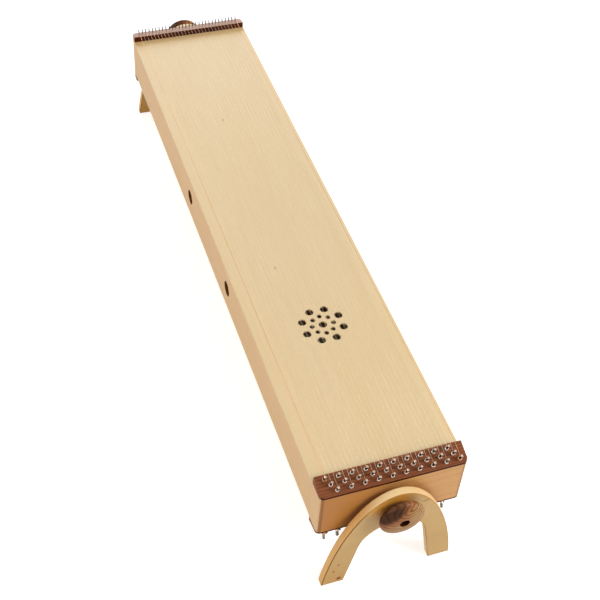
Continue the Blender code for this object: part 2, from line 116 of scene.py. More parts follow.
def stretchedNoise(tree, coords, along, across, detail=3.0, offset=0.0):
    placed = addNode(tree, "ShaderNodeMapping", Vector=coords, Location=(offset, offset * 0.7, offset * 0.3),
                     Scale=(1 / along, 1 / across, 1 / across))
    return addNode(tree, "ShaderNodeTexNoise", Vector=placed.outputs[0], Scale=1.0, Detail=detail).outputs[0]


def distanceFrom(tree, place, spot):
    # One on the surface of an ellipsoid of the spot's size, nought at its middle
    local = addNode(tree, "ShaderNodeMapping", {"vector_type": "TEXTURE"}, Vector=place,
                    Location=spot["place"], Rotation=spot.get("turn", (0, 0, 0)), Scale=spot["size"])
    return addNode(tree, "ShaderNodeVectorMath", {"operation": "LENGTH"}, i0=local.outputs[0]).outputs["Value"]


# Wood: annual rings are bands across the turned local Y, stretched along local X and bent by slow noise

def woodLook(tree, place, wood):
    coords = addNode(tree, "ShaderNodeMapping", Vector=place,
                     Rotation=wood["turn"], Location=wood["shift"]).outputs[0]
    ring = wood["ringMm"] * mm
    flat = addNode(tree, "ShaderNodeMapping", Vector=coords, Scale=(1 / (300 * ring), 1 / ring, 0.35 / ring))
    if "heart" in wood:
        reach = distanceFrom(tree, place, wood["heart"])
        flat = addNode(tree, "ShaderNodeCombineXYZ", Y=math(tree, "MULTIPLY", reach, wood["heart"]["rings"]))
    slow = stretchedNoise(tree, coords, 0.35, wood["bendMm"] * mm, 1.0, 3.1)
    sway = addNode(tree, "ShaderNodeCombineXYZ", Y=remap(tree, slow, 0, 1, -wood["bend"], wood["bend"]))
    bent = addNode(tree, "ShaderNodeVectorMath", {"operation": "ADD"}, i0=flat.outputs[0], i1=sway.outputs[0])
    bands = addNode(tree, "ShaderNodeTexWave", {"bands_direction": "Y", "wave_profile": "SAW"},
                    Vector=bent.outputs[0], Scale=pi / 10, Distortion=1.2, Detail=2.0, Detail_Scale=1.0)
    lateWood = remap(tree, bands.outputs["Fac"], wood["lateStart"], 1.0)
    streaks = stretchedNoise(tree, coords, 60 * ring, ring * 0.9, 4.0, 7.7)
    fibre = stretchedNoise(tree, coords, wood["fibreMm"] * 30 * mm, wood["fibreMm"] * mm, 3.0, 1.9)
    cloud = stretchedNoise(tree, coords, 0.30, 0.05, 2.0, 5.3)
    colour = mixColours(tree, lateWood, toLinear(wood["early"]), toLinear(wood["late"]))
    for share, hexColour in (
        (remap(tree, streaks, 0.35, 0.75, 0.0, wood["streak"]), wood["late"]),
        (remap(tree, cloud, 0.40, 0.70, 0.0, wood["cloud"]), wood["warm"]),
        (remap(tree, fibre, 0.60, 0.78, 0.0, wood["pores"]), wood["pore"]),
    ):
        colour = mixColours(tree, share, colour, toLinear(hexColour))
    for tint in wood.get("tints", []):
        along = addNode(tree, "ShaderNodeVectorMath", {"operation": "DOT_PRODUCT"},
                        i0=place, i1=tint["direction"]).outputs["Value"]
        share = remap(tree, along, tint["start"], tint["end"], 0.0, tint["share"], True)
        colour = mixColours(tree, share, colour, toLinear(tint["colour"]))
    for knot in wood.get("knots", []):
        share = remap(tree, distanceFrom(tree, place, knot), 1.0, 0.4, 0.0, knot["share"], True)
        colour = mixColours(tree, share, colour, toLinear(knot.get("colour", wood.get("knot"))))
    return colour, fibre


def dressWood(tree, shader, colour, fibre, wood):
    tree.links.new(colour, shader.inputs["Base Color"])
    rough = remap(tree, fibre, 0.3, 0.7, wood["roughness"] - 0.05, wood["roughness"] + 0.07)
    tree.links.new(rough, shader.inputs["Roughness"])
    bump = addNode(tree, "ShaderNodeBump", Strength=wood["bump"], Distance=0.0002, Height=fibre)
    tree.links.new(bump.outputs[0], shader.inputs["Normal"])


def woodMaterial(name, wood):
    material, tree, shader = newMaterial(name, Coat_Weight=wood["coat"],
                                         Coat_Roughness=wood["coatRoughness"],
                                         Specular_IOR_Level=wood.get("shine", 0.5))
    place = addNode(tree, "ShaderNodeTexCoord").outputs["Object"]
    dressWood(tree, shader, *woodLook(tree, place, wood), wood)
    return material


alongX = (0, 0, 0)
alongY = (0, 0, pi / 2)
onEdge = (pi / 2, 0, 0)

# Resonance spruce, quarter sawn, planed and lacquered: pale straw with close straight rings
spruceBoard = woodMaterial("lacquered spruce", {
    "turn": alongX, "shift": (0, 0, 0),
    "early": "#ead2a6", "late": "#dabb86", "warm": "#e1c38f", "pore": "#c9a26a", "knot": "#8a6a48",
    "ringMm": 2.6, "bendMm": 120, "bend": 3.0, "lateStart": 0.55, "streak": 0.45, "cloud": 0.35, "pores": 0.25,
    "fibreMm": 0.5, "roughness": 0.42, "coat": 0.15, "coatRoughness": 0.35, "bump": 0.10,
    # Painted shade: darker gold on the board just in front of the far hitch strip
    "tints": [{"direction": (-1, 0, 0), "start": 0.612, "end": 0.66, "share": 0.6, "colour": "#d9ac62"}],
    "knots": [
        {"place": (-0.3228, -0.0125, boardTop), "size": (0.006, 0.0025, 0.01), "share": 0.5},
        {"place": (0.1491, -0.0418, boardTop), "size": (0.006, 0.0022, 0.01), "share": 0.5},
    ]})

# Rough sawn spruce for braces and linings, which has no lacquer
spruceBar = woodMaterial("sawn spruce", {
    "turn": alongY, "shift": (0.3, 0, 0),
    "early": "#dcc193", "late": "#c29d64", "warm": "#d0ad77", "pore": "#a37a45",
    "ringMm": 3.0, "bendMm": 80, "bend": 1.0, "lateStart": 0.5, "streak": 0.5, "cloud": 0.3, "pores": 0.4,
    "fibreMm": 0.6, "roughness": 0.65, "coat": 0.0, "coatRoughness": 0.5, "bump": 0.3})

# Red alder boards, sanded and lacquered: pale orange tan sides, mitred to a redder board across each end
alder = {
    "side": {
        "turn": onEdge, "shift": (0, 0.4, 0),
        "early": "#e3bd8b", "late": "#d5a873", "warm": "#dcb07b", "pore": "#b5824d",
        "ringMm": 9.0, "bendMm": 60, "bend": 1.6, "lateStart": 0.25, "streak": 0.55, "cloud": 0.5, "pores": 0.25,
        "fibreMm": 0.6},
    "end": {
        "turn": (pi / 2, pi / 2, 0), "shift": (0.2, 0, 0.1),
        "early": "#d5a061", "late": "#c99254", "warm": "#cf9658", "pore": "#ad7640",
        "ringMm": 16.0, "bendMm": 50, "bend": 1.5, "lateStart": 0.7, "streak": 0.4, "cloud": 0.4, "pores": 0.2,
        "fibreMm": 0.8,
        # Painted shade, with a little of the wood's own tone: darker, redder amber towards the left of the end,
        # beside the arch and knob
        "tints": [{"direction": (0, -1, 0), "start": -0.03, "end": 0.10, "share": 0.8, "colour": "#b77122"}]},
    # Colour, width and offset into the end of the dark band of painted shade on the rounded corner
    "cornerShade": "#7c451a",
    "cornerShadeWidth": 0.0055,
    "cornerShadeMiddle": 0.0055,
    "roughness": 0.42, "coat": 0.05, "coatRoughness": 0.35, "bump": 0.10, "shine": 0.35,
}


def boxMaterial(name):
    # A point nearer to the side than to the end shows the side board, and the two meet on the diagonal across the
    # corner; a dark band along the rounded corner is painted shade
    material, tree, shader = newMaterial(name, Coat_Weight=alder["coat"],
                                         Coat_Roughness=alder["coatRoughness"],
                                         Specular_IOR_Level=alder["shine"])
    place = addNode(tree, "ShaderNodeTexCoord").outputs["Object"]
    sideColour, fibre = woodLook(tree, place, alder["side"])
    endColour = woodLook(tree, place, alder["end"])[0]
    split = addNode(tree, "ShaderNodeSeparateXYZ", Vector=place).outputs
    fromEnd = math(tree, "SUBTRACT", nearEnd, math(tree, "ABSOLUTE", split["X"]))
    fromSide = math(tree, "SUBTRACT", halfWidth, math(tree, "ABSOLUTE", split["Y"]))
    past = math(tree, "SUBTRACT", fromEnd, fromSide)
    colour = mixColours(tree, remap(tree, past, -0.0003, 0.0003), endColour, sideColour)
    # Painted shade: the dark band down the rounded corner
    away = math(tree, "ABSOLUTE", math(tree, "ADD", past, alder["cornerShadeMiddle"]))
    line = remap(tree, away, alder["cornerShadeWidth"], 0.0, 0.0, 0.6, True)
    atCorner = remap(tree, math(tree, "MAXIMUM", fromEnd, fromSide), 0.010, 0.008)
    colour = mixColours(tree, math(tree, "MULTIPLY", line, atCorner), colour, toLinear(alder["cornerShade"]))
    dressWood(tree, shader, colour, fibre, alder)
    return material


boxWood = boxMaterial("lacquered alder")

# Alder inside the drilled sound holes: end grain, left without lacquer, painted dark brown as the shade in the
# holes
holeShadeAlder = woodMaterial("alder painted as shade in the sound holes", {
    **alder["side"], "early": "#7a4a20", "late": "#653a17", "warm": "#70421b", "pore": "#4a2810",
    "roughness": 0.7, "coat": 0.0, "coatRoughness": 0.5, "bump": 0.2, "shine": 0.1})

# American walnut, oiled: red brown with darker streaks and open pores
walnutLook = {
    "turn": alongY, "shift": (0.1, 0, 0),
    "early": "#975c39", "late": "#703a20", "warm": "#874c2d", "pore": "#421c0e",
    "ringMm": 4.5, "bendMm": 40, "bend": 2.5, "lateStart": 0.3, "streak": 0.7, "cloud": 0.6, "pores": 0.7,
    "fibreMm": 0.5, "roughness": 0.45, "coat": 0.0, "coatRoughness": 0.3, "bump": 0.25, "shine": 0.12}
walnut = woodMaterial("oiled walnut", walnutLook)

# The hitch strips: walnut painted paler as painted sheen on their tops, planed and waxed, with more shine
hitchWalnutPaintedSheen = woodMaterial("walnut painted with sheen", {
    **walnutLook, "early": "#b98463", "late": "#94614a", "warm": "#a87356", "roughness": 0.38, "shine": 0.6})

# The strips' upright faces across the box: walnut painted nearly black brown as painted shade
walnutPaintedShade = woodMaterial("walnut painted in shade", {
    **walnutLook, "early": "#56270f", "late": "#3c1709", "warm": "#491f0c", "pore": "#200b04", "shine": 0.05})

# Birch plywood, lacquered: a honey face veneer with a few small knots and a large patch of painted shade round
# the knob, and thin plies round the rim
birchFace = {
    "turn": alongY, "shift": (0, 0, 0.2),
    "early": "#d2ab6c", "late": "#c79e5d", "warm": "#cda563", "pore": "#ad803f", "knot": "#8a4a06",
    "ringMm": 7.0, "bendMm": 50, "bend": 1.0, "lateStart": 0.3, "streak": 0.35, "cloud": 0.4, "pores": 0.25,
    "fibreMm": 0.6, "roughness": 0.40, "coat": 0.05, "coatRoughness": 0.3, "bump": 0.08, "shine": 0.35,
    # Painted shade: darker amber over the lower left of the face, on the shaded left leg
    "tints": [{"direction": (0, -0.5, -0.87), "start": -0.02, "end": 0.04, "share": 0.6, "colour": "#c48f3c"}],
    "knots": [
        # Painted shade: a large warm orange patch round the knob under the crown, not a knot
        {"place": (0.710, -0.0250, 0.2280), "size": (0.02, 0.0550, 0.0550), "share": 0.75, "colour": "#f0a232"},
        {"place": (0.710, -0.0966, 0.0586), "size": (0.02, 0.0028, 0.0038), "share": 0.9},
        {"place": (0.710, -0.1045, 0.0402), "size": (0.02, 0.0034, 0.0038), "share": 0.9},
        {"place": (0.710, -0.0932, 0.0125), "size": (0.02, 0.0090, 0.0090), "share": 0.6, "colour": "#c27b1e"},
        {"place": (0.710, -0.0928, 0.0119), "size": (0.02, 0.0054, 0.0056), "share": 1.0, "colour": "#744000"},
        {"place": (0.710, 0.0500, 0.2005), "size": (0.02, 0.0080, 0.0020), "share": 0.8},
        {"place": (0.710, 0.0545, 0.2035), "size": (0.02, 0.0024, 0.0030), "share": 0.9},
    ]}
birch = woodMaterial("birch veneer", birchFace)
birchPlies = woodMaterial("birch plies", {
    **birchFace, "early": "#fbdca6", "late": "#ecc284", "warm": "#f3cd93", "ringMm": 1.5, "bend": 0.2,
    "knots": [],
    # Painted shade: the rim darker amber down the left leg and over its upper left
    "tints": [{"direction": (0, -1, 0), "start": 0.030, "end": 0.070, "share": 0.7, "colour": "#dfa451"},
              {"direction": (0, -0.8, -0.6), "start": -0.045, "end": -0.010, "share": 0.25,
               "colour": "#bd8837"}]})
# Birch on the rounded edges, darker than the face, and darker still down the left leg as painted shade
birchDarkEdges = woodMaterial("birch darker on the rounded edges", {
    **birchFace, "early": "#c18f4a", "late": "#b0803f", "warm": "#b98744", "knots": [],
    "coat": 0.0, "shine": 0.1,
    "tints": [{"direction": (0, -1, 0), "start": 0.045, "end": 0.075, "share": 0.85, "colour": "#855620"}]})

# Zebrano, turned and polished: rings run round a spot at the top right, past a dark patch at the left
heart = {
    "place": (0, 0.016, boltHeight + 0.032), "turn": (0.30, 0, 0), "size": (10, 0.020, 0.011), "rings": 2.0}
darkPatch = {"place": (0, -0.026, boltHeight + 0.021), "turn": (0.62, 0, 0)}
zebranoLook = {
    "turn": alongY, "shift": (0, 0, 0),
    "early": "#cda26b", "late": "#592c12", "warm": "#a5713f", "pore": "#41210e", "heart": heart,
    "ringMm": 3.0, "bendMm": 15, "bend": 0.6, "lateStart": 0.45, "streak": 0.5, "cloud": 0.4, "pores": 0.5,
    "fibreMm": 0.5, "roughness": 0.35, "coat": 0.2, "coatRoughness": 0.16, "bump": 0.06, "shine": 0.04,
    "knots": [
        {**darkPatch, "size": (10, 0.090, 0.034), "share": 0.6, "colour": "#8a3c10"},
        {**darkPatch, "size": (10, 0.050, 0.017), "share": 0.85, "colour": "#220b03"},
    ]}
zebrano = woodMaterial("polished zebrano", zebranoLook)

# Inside its drilled hole the zebrano is painted near black as the shade in the hole, without polish
zebranoHoleShade = woodMaterial("zebrano painted as shade in its hole", {
    **zebranoLook, "early": "#4a2010", "late": "#32140a", "warm": "#40190c", "coat": 0.0, "knots": []})


def metalMaterial(name, colour, tarnish, roughness, marksMm):
    material, tree, shader = newMaterial(name, Metallic=1.0)
    place = addNode(tree, "ShaderNodeTexCoord").outputs["Object"]
    marks = stretchedNoise(tree, place, marksMm * 3 * mm, marksMm * mm, 3.0)
    shade = mixColours(tree, remap(tree, marks, 0.4, 0.75), toLinear(colour), toLinear(tarnish))
    tree.links.new(shade, shader.inputs["Base Color"])
    tree.links.new(remap(tree, marks, 0.3, 0.7, roughness - 0.05, roughness + 0.10), shader.inputs["Roughness"])
    return material


nickelPlate = metalMaterial("bright nickel plate", "#cfb9a5", "#a08d7b", 0.28, 1.5)  # pin heads: warm mirror
# Painted reflection: the pins' square sides and shafts, the same plating as the heads painted dark
pinSidesPaintedDark = metalMaterial("pin plating painted dark", "#64523f", "#40342a", 0.28, 1.5)  # pin shafts: dark between turns
# Painted shade: the sides of the pins under the box, the same plating painted a duller grey
underBoxPinShade = metalMaterial("nickel plate painted in shade under the box", "#9a8b7a", "#7c6f62", 0.36, 1.5)  # bottom pins: grey, less bright
blackedSteel = metalMaterial("blacked steel", "#56564a", "#3a3a30", 0.40, 1.5)  # hitch pins: grey green
musicWire = metalMaterial("drawn music wire", "#e0d1bb", "#c2b19a", 0.34, 2.0)  # plain strings, warm beige as painted reflection of the board
coilWirePaintedBright = metalMaterial("music wire painted bright on the coils", "#fff6ea", "#dccab7", 0.30, 2.0)  # the same wire painted brighter on the coils as painted highlight
woundBronze = metalMaterial("wound bronze", "#e0b28c", "#b8845c", 0.30, 1.0)  # winding on a steel core
zincPlate = metalMaterial("zinc plated steel", "#b9bab8", "#8c8e8d", 0.38, 2.0)  # bolts, washers, inserts
print("materials made")


# Mesh helpers

def addObject(name, mesh, *materials):
    obj = bpy.data.objects.new(name, mesh)
    for material in materials:
        mesh.materials.append(material)
    bpy.context.scene.collection.objects.link(obj)
    return obj


def finishMesh(bm, name, place=Matrix(), angle=35):
    bmesh.ops.remove_doubles(bm, verts=bm.verts, dist=0.01 * mm)
    bm.transform(place)
    bmesh.ops.recalc_face_normals(bm, faces=bm.faces)
    mesh = bpy.data.meshes.new(name)
    bm.to_mesh(mesh)
    bm.free()
    mesh.shade_smooth()
    mesh.set_sharp_from_angle(angle=radians(angle))
    return mesh


def toMesh(obj):
    graph = bpy.context.evaluated_depsgraph_get()
    mesh = bpy.data.meshes.new_from_object(obj.evaluated_get(graph))
    bpy.data.objects.remove(obj, do_unlink=True)
    return mesh


def handOver(obj, body, slotName, *nodes):
    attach(obj, body)
    if nodes:
        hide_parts(*nodes)
    return obj


def inwardSteps(loop, woodSide):
    # At each point of an anticlockwise loop, the step that moves both its edges into the wood by one
    steps = []
    for here in range(len(loop)):
        before, point, after = (Vector(loop[place % len(loop)]) for place in (here - 1, here, here + 1))
        first = (point - before).normalized()
        middle = (first + (after - point).normalized()).normalized()
        steps.append(woodSide * Vector((-middle.y, middle.x)) / middle.dot(first))
    return steps


def plate(name, outline, holes, thickness, edge, place, slots=(0, 0, 0), segments=4):
    # A flat outline with holes, centred on local Z zero, its edges rounded by edge; slots gives the
    # materials of the outer wall, the rounded edges and the walls of the holes
    turns = [pi / 2 * step / segments for step in range(segments + 1)]
    levels = [(edge * (1 - cos(turn)), thickness / 2 - edge * (1 - sin(turn))) for turn in turns]
    levels = [(inset, -height) for inset, height in reversed(levels)] + levels
    bm = bmesh.new()
    rims = ([], [])
    for loop, woodSide in [(outline, 1)] + [(hole, -1) for hole in holes]:
        steps = inwardSteps(loop, woodSide)
        rings = [[bm.verts.new((x + step.x * inset, y + step.y * inset, height))
                  for (x, y), step in zip(loop, steps)] for inset, height in levels]
        for number, (lower, upper) in enumerate(zip(rings, rings[1:])):
            for here in range(len(loop)):
                side = bm.faces.new((lower[here - 1], lower[here], upper[here], upper[here - 1]))
                wall = slots[0] if woodSide > 0 else slots[2]
                side.material_index = wall if number == segments or woodSide < 0 else slots[1]
        for rim, ring in zip(rims, (rings[0], rings[-1])):
            rim.extend(bm.edges.get((ring[here - 1], ring[here])) for here in range(len(ring)))
    for rim in rims:
        bmesh.ops.triangle_fill(bm, use_beauty=True, edges=rim)
    mesh = finishMesh(bm, name, place)
    across = place.to_3x3() @ Vector((0, 0, 1))
    for face in mesh.polygons:
        face.use_smooth = abs(face.normal.dot(across)) < 0.9999
    return mesh


def ringOf(radius, steps, middle=(0, 0), start=0.0):
    turns = [start + 2 * pi * step / steps for step in range(steps)]
    return [(middle[0] + radius * cos(turn), middle[1] + radius * sin(turn)) for turn in turns]


def turned(name, profile, steps, place):
    # A closed profile of (radius, height), turned about local Z
    bm = bmesh.new()
    loop = [bm.verts.new((radius, 0, height)) for radius, height in profile]
    edges = [bm.edges.new((loop[here - 1], loop[here])) for here in range(len(loop))]
    bmesh.ops.spin(bm, geom=loop + edges, axis=(0, 0, 1), cent=(0, 0, 0), angle=2 * pi, steps=steps,
                   use_merge=True)
    return finishMesh(bm, name, place)


def cornerArc(middle, radius, start, steps):
    turns = [start + pi / 2 * step / steps for step in range(steps + 1)]
    return [(middle[0] + radius * cos(turn), middle[1] + radius * sin(turn)) for turn in turns]


# Camera at the photograph's angle, found by fitting the box's corners, feet, knob and holes

camera = {
    "place": (1.6494, -0.5887, 1.8634),
    "forward": (-0.63456, 0.26113, -0.72742),
    "rollDegrees": 4.88,
    "lensMm": 69.43,
    "shift": (-0.00998, -0.00923),
}


def makeCamera():
    data = bpy.data.cameras.new("photo camera")
    data.lens = camera["lensMm"]
    data.sensor_width = 36.0
    data.shift_x, data.shift_y = camera["shift"]
    obj = bpy.data.objects.new("photo camera", data)
    forward = Vector(camera["forward"]).normalized()
    level = forward.cross(Vector((0, 0, 1))).normalized()
    upright = level.cross(forward)
    roll = radians(camera["rollDegrees"])
    right = level * cos(roll) + upright * sin(roll)
    up = right.cross(forward)
    obj.matrix_world = Matrix.Translation(camera["place"]) @ Matrix((right, up, -forward)).transposed().to_4x4()
    bpy.context.scene.collection.objects.link(obj)
    bpy.context.scene.camera = obj


makeCamera()


# Studio: white all round, a soft key from the right of the near end and weaker lamps about it

studio = {
    "ambient": 0.42,
    "lamps": [
        {"name": "key", "place": (2.1, 1.9, 2.4), "size": 1.4, "watts": 65},
        {"name": "left fill", "place": (0.0, -3.2, 1.9), "size": 2.4, "watts": 52},
        {"name": "back", "place": (-3.2, 0.7, 1.7), "size": 2.0, "watts": 26},
    ],
    "target": (0, 0, 0.2),
    "floorSize": 60.0,
    "floorColour": "#f4f4f4",
    "floorLift": 0.53,
}


def makeWorld():
    world = bpy.data.worlds.new("white studio")
    bpy.context.scene.world = world
    world.use_nodes = True
    tree = world.node_tree
    tree.nodes.clear()
    rays = addNode(tree, "ShaderNodeLightPath").outputs
    seen = math(tree, "MAXIMUM", math(tree, "MAXIMUM", rays["Is Camera Ray"], rays["Is Glossy Ray"]),
                rays["Is Transmission Ray"])
    strength = remap(tree, seen, 0, 1, studio["ambient"], 1.0)
    background = addNode(tree, "ShaderNodeBackground", Color=(1, 1, 1, 1), Strength=strength)
    addNode(tree, "ShaderNodeOutputWorld", Surface=background.outputs[0])


def makeLamps():
    for lamp in studio["lamps"]:
        data = bpy.data.lights.new(lamp["name"], "AREA")
        data.shape = "DISK"
        data.size = lamp["size"]
        data.energy = lamp["watts"]
        obj = bpy.data.objects.new(lamp["name"], data)
        aim = Vector(studio["target"]) - Vector(lamp["place"])
        obj.matrix_world = Matrix.Translation(lamp["place"]) @ aim.to_track_quat("-Z", "Y").to_matrix().to_4x4()
        bpy.context.scene.collection.objects.link(obj)


def makeFloor():
    bm = bmesh.new()
    bmesh.ops.create_grid(bm, x_segments=1, y_segments=1, size=studio["floorSize"] / 2)
    material, tree, shader = newMaterial("white paper floor", Base_Color=toLinear(studio["floorColour"]),
                                         Roughness=0.9)
    seen = addNode(tree, "ShaderNodeLightPath").outputs["Is Camera Ray"]
    shader.inputs["Emission Color"].default_value = (1, 1, 1, 1)
    tree.links.new(math(tree, "MULTIPLY", seen, studio["floorLift"]), shader.inputs["Emission Strength"])
    addObject("floor", finishMesh(bm, "floor"), material)


makeWorld()
makeLamps()
makeFloor()
bpy.context.scene.view_settings.view_transform = "Standard"
print("camera and studio made")


# Box: boards and blocks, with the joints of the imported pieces

box = {
    "cornerRadius": 0.009,
    "edge": 0.0006,
    "rosetteSetback": 0.369,
    "rosetteRings": [(0.0, 0.016, 1, 0.0), (0.0214, 0.010, 8, 0.0), (0.0392, 0.016, 8, 22.5)],
    "sideHoleDiameter": 0.032,
    "sideHoleSetbacks": (0.552, 0.832),
}


def makeSoundboards():
    for face in ("top", "bottom"):
        node = face + "_soundboard"
        low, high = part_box(node)
        outline = [(low.x, low.y), (high.x, low.y), (high.x, high.y), (low.x, high.y)]
        holes = []
        if face == "top":
            for ringRadius, diameter, count, start in box["rosetteRings"]:
                for middle in ringOf(ringRadius, count, (nearEnd - box["rosetteSetback"], 0), radians(start)):
                    holes.append(ringOf(diameter / 2, 40, middle))
        place = Matrix.Translation((0, 0, (low.z + high.z) / 2))
        mesh = plate(face + " soundboard", outline, holes, high.z - low.z, box["edge"] / 2, place)
        handOver(addObject(face + "Soundboard", mesh, spruceBoard), "sound_box", "spruce", node)


def blockOutline(innerX, outerX, innerRadius, steps):
    side = 1 if outerX > innerX else -1
    radius = box["cornerRadius"]
    outer = cornerArc((outerX - side * radius, halfWidth - radius), radius, 0 if side > 0 else pi / 2, steps)
    inner = cornerArc((innerX + side * innerRadius, halfWidth - innerRadius), innerRadius,
                      pi / 2 if side > 0 else 0, 3)
    right = outer + inner if side > 0 else inner + outer
    return right + [(x, -y) for x, y in reversed(right)]


def makeBlocks():
    # Each block is rebated in both faces for the ends of the soundboards
    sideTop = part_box("left_side")[1].z - boxMiddle
    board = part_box("top_soundboard")
    for name, node, side in (("nearPinBlock", "near_pin_block", 1), ("farHitchBlock", "far_hitch_block", -1)):
        low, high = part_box(node)
        innerX, outerX = (low.x, high.x) if side > 0 else (high.x, low.x)
        boardEnd = board[1].x if side > 0 else board[0].x
        half = (high.z - low.z) / 2
        bm = bmesh.new()
        rebate = [(innerX, -halfWidth), (boardEnd, -halfWidth), (boardEnd, halfWidth), (innerX, halfWidth)]
        sections = ((blockOutline(boardEnd, outerX, 0.0003, 12), half), (rebate, sideTop))
        for outline, reach in sections:
            rings = [[bm.verts.new((x, y, boxMiddle + z)) for x, y in outline] for z in (-reach, reach)]
            bm.faces.new(reversed(rings[0]))
            bm.faces.new(rings[1])
            for here in range(len(outline)):
                bm.faces.new((rings[0][here - 1], rings[0][here], rings[1][here], rings[1][here - 1]))
        handOver(addObject(name, finishMesh(bm, name), boxWood), "sound_box", "alder", node)


def makeSides():
    for name, node in (("leftSide", "left_side"), ("rightSide", "right_side")):
        low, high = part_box(node)
        middle = (low + high) / 2
        outline = [(low.x, low.z), (high.x, low.z), (high.x, high.z), (low.x, high.z)]
        holes = []
        if node == "left_side":
            for setback in box["sideHoleSetbacks"]:
                holes.append(ringOf(box["sideHoleDiameter"] / 2, 48, (nearEnd - setback, boxMiddle)))
        upright = Matrix.Translation((0, middle.y, 0)) @ Matrix.Rotation(pi / 2, 4, "X")
        mesh = plate(node, outline, holes, high.y - low.y, 0.0002, upright, (0, 0, 1))
        handOver(addObject(name, mesh, boxWood, holeShadeAlder), "sound_box", "alder", node)


def recolour(node, material):
    frame["nodes"][node].data.materials.clear()
    frame["nodes"][node].data.materials.append(material)


makeSoundboards()
makeBlocks()
makeSides()
recolour("top_brace_frame", spruceBar)
recolour("bottom_brace_frame", spruceBar)
print("box made")


# Walnut strips: wedges for the tuning pins, lower under the box, and bars for the hitch pins

strips = {
    "wedgeHeights": {"top": (0.0180, 0.0052), "bottom": (0.0122, 0.0034)},  # inner and outer edge
    "hitchHeights": (0.0134, 0.0090),
    "wedgeDepth": 0.038,
    "hitchDepth": 0.024,
    "edge": 0.0016,
}
hitchSlope = atan2(strips["hitchHeights"][0] - strips["hitchHeights"][1], strips["hitchDepth"])
pinJoints = [joints["tuning_pin_%02d_turn" % number] for number in range(1, 31)]
stringYs = [joint["pos_m"][1] for joint in pinJoints]


def wedgeTop(x, face="top"):
    inner, outer = strips["wedgeHeights"][face]
    return boardTop + outer + (inner - outer) * (nearEnd - x) / strips["wedgeDepth"]


def hitchTop(x, face="top"):
    inner, outer = strips["hitchHeights"]
    return boardTop + outer + (inner - outer) * (x - farEnd) / strips["hitchDepth"]


def makeStrip(name, face, innerX, outerX, topHeight, place):
    outline = blockOutline(innerX, outerX, strips["edge"], 10)
    bm = bmesh.new()
    rings = [[bm.verts.new((x, y, height(x))) for x, y in outline]
             for height in (lambda x: boardTop, lambda x: topHeight(x, face))]
    bm.faces.new(reversed(rings[0]))
    crown = bm.faces.new(rings[1])
    for here in range(len(outline)):
        bm.faces.new((rings[0][here - 1], rings[0][here], rings[1][here], rings[1][here - 1]))
    bmesh.ops.bevel(bm, geom=list(crown.edges), offset=strips["edge"], segments=4, profile=0.5, affect="EDGES",
                    clamp_overlap=True)
    bm.normal_update()
    for side in bm.faces:
        # Faces across the strip's length take the walnut painted dark as painted shade
        side.material_index = 1 if abs(side.normal.x) > 0.7 else 0
    return finishMesh(bm, name, place)


def makeStrips():
    for face, place in faces:
        wedge = makeStrip(face + " tuning strip", face, nearEnd - strips["wedgeDepth"], nearEnd, wedgeTop, place)
        strip = addObject(face + "TuningStrip", wedge, walnut, walnutPaintedShade)
        handOver(strip, "sound_box", "walnut", face + "_tuning_strip")
        bar = makeStrip(face + " hitch strip", face, farEnd + strips["hitchDepth"], farEnd, hitchTop, place)
        strip = addObject(face + "HitchStrip", bar, hitchWalnutPaintedSheen, walnutPaintedShade)
        handOver(strip, "sound_box", "walnut", face + "_hitch_strip")


makeStrips()
print("strips made")


# Tuning pins: plated, with a square head, and the string's turns wound low on each

pin = {
    "radius": 0.0025,
    "height": 0.0184,
    "square": 0.0042,
    "squareLength": 0.009,
    "chamfer": 0.0005,
    "coilLift": 0.0013,
    "bottomShift": 0.0025,
    "turns": {"steel": 6, "bronze": 4},
    "wireRadius": {"steel": 0.00040, "bronze": 0.00058},
    "sides": 24,
}


def makeCoilTree():
    tree = bpy.data.node_groups.new("string coil", "GeometryNodeTree")
    tree.interface.new_socket("Wire Radius", in_out="INPUT", socket_type="NodeSocketFloat")
    tree.interface.new_socket("Coil Radius", in_out="INPUT", socket_type="NodeSocketFloat")
    tree.interface.new_socket("Turns", in_out="INPUT", socket_type="NodeSocketFloat")
    tree.interface.new_socket("Material", in_out="INPUT", socket_type="NodeSocketMaterial")
    tree.interface.new_socket("Geometry", in_out="OUTPUT", socket_type="NodeSocketGeometry")
    given = addNode(tree, "NodeGroupInput").outputs
    rise = addNode(tree, "ShaderNodeMath", {"operation": "MULTIPLY"}, i0=given["Wire Radius"], i1=2.05)
    height = addNode(tree, "ShaderNodeMath", {"operation": "MULTIPLY"}, i0=rise.outputs[0], i1=given["Turns"])
    spiral = addNode(tree, "GeometryNodeCurveSpiral", Resolution=24, Rotations=given["Turns"],
                     Start_Radius=given["Coil Radius"], End_Radius=given["Coil Radius"],
                     Height=height.outputs[0], Reverse=True)
    circle = addNode(tree, "GeometryNodeCurvePrimitiveCircle", Resolution=8, Radius=given["Wire Radius"])
    tube = addNode(tree, "GeometryNodeCurveToMesh", Curve=spiral.outputs[0], Profile_Curve=circle.outputs[0],
                   Fill_Caps=True)
    real = addNode(tree, "GeometryNodeRealizeInstances", Geometry=tube.outputs[0])
    dressed = addNode(tree, "GeometryNodeSetMaterial", Geometry=real.outputs[0], Material=given["Material"])
    smooth = addNode(tree, "GeometryNodeSetShadeSmooth", Geometry=dressed.outputs[0])
    addNode(tree, "NodeGroupOutput", Geometry=smooth.outputs[0])
    return tree


def applyTree(name, tree, values):
    obj = addObject(name, bpy.data.meshes.new(name))
    modifier = obj.modifiers.new("build", "NODES")
    modifier.node_group = tree
    for item in tree.interface.items_tree:
        if item.in_out == "INPUT" and item.name in values:
            modifier[item.identifier] = values[item.name]
    obj.update_tag()
    bpy.context.view_layer.update()
    return toMesh(obj)


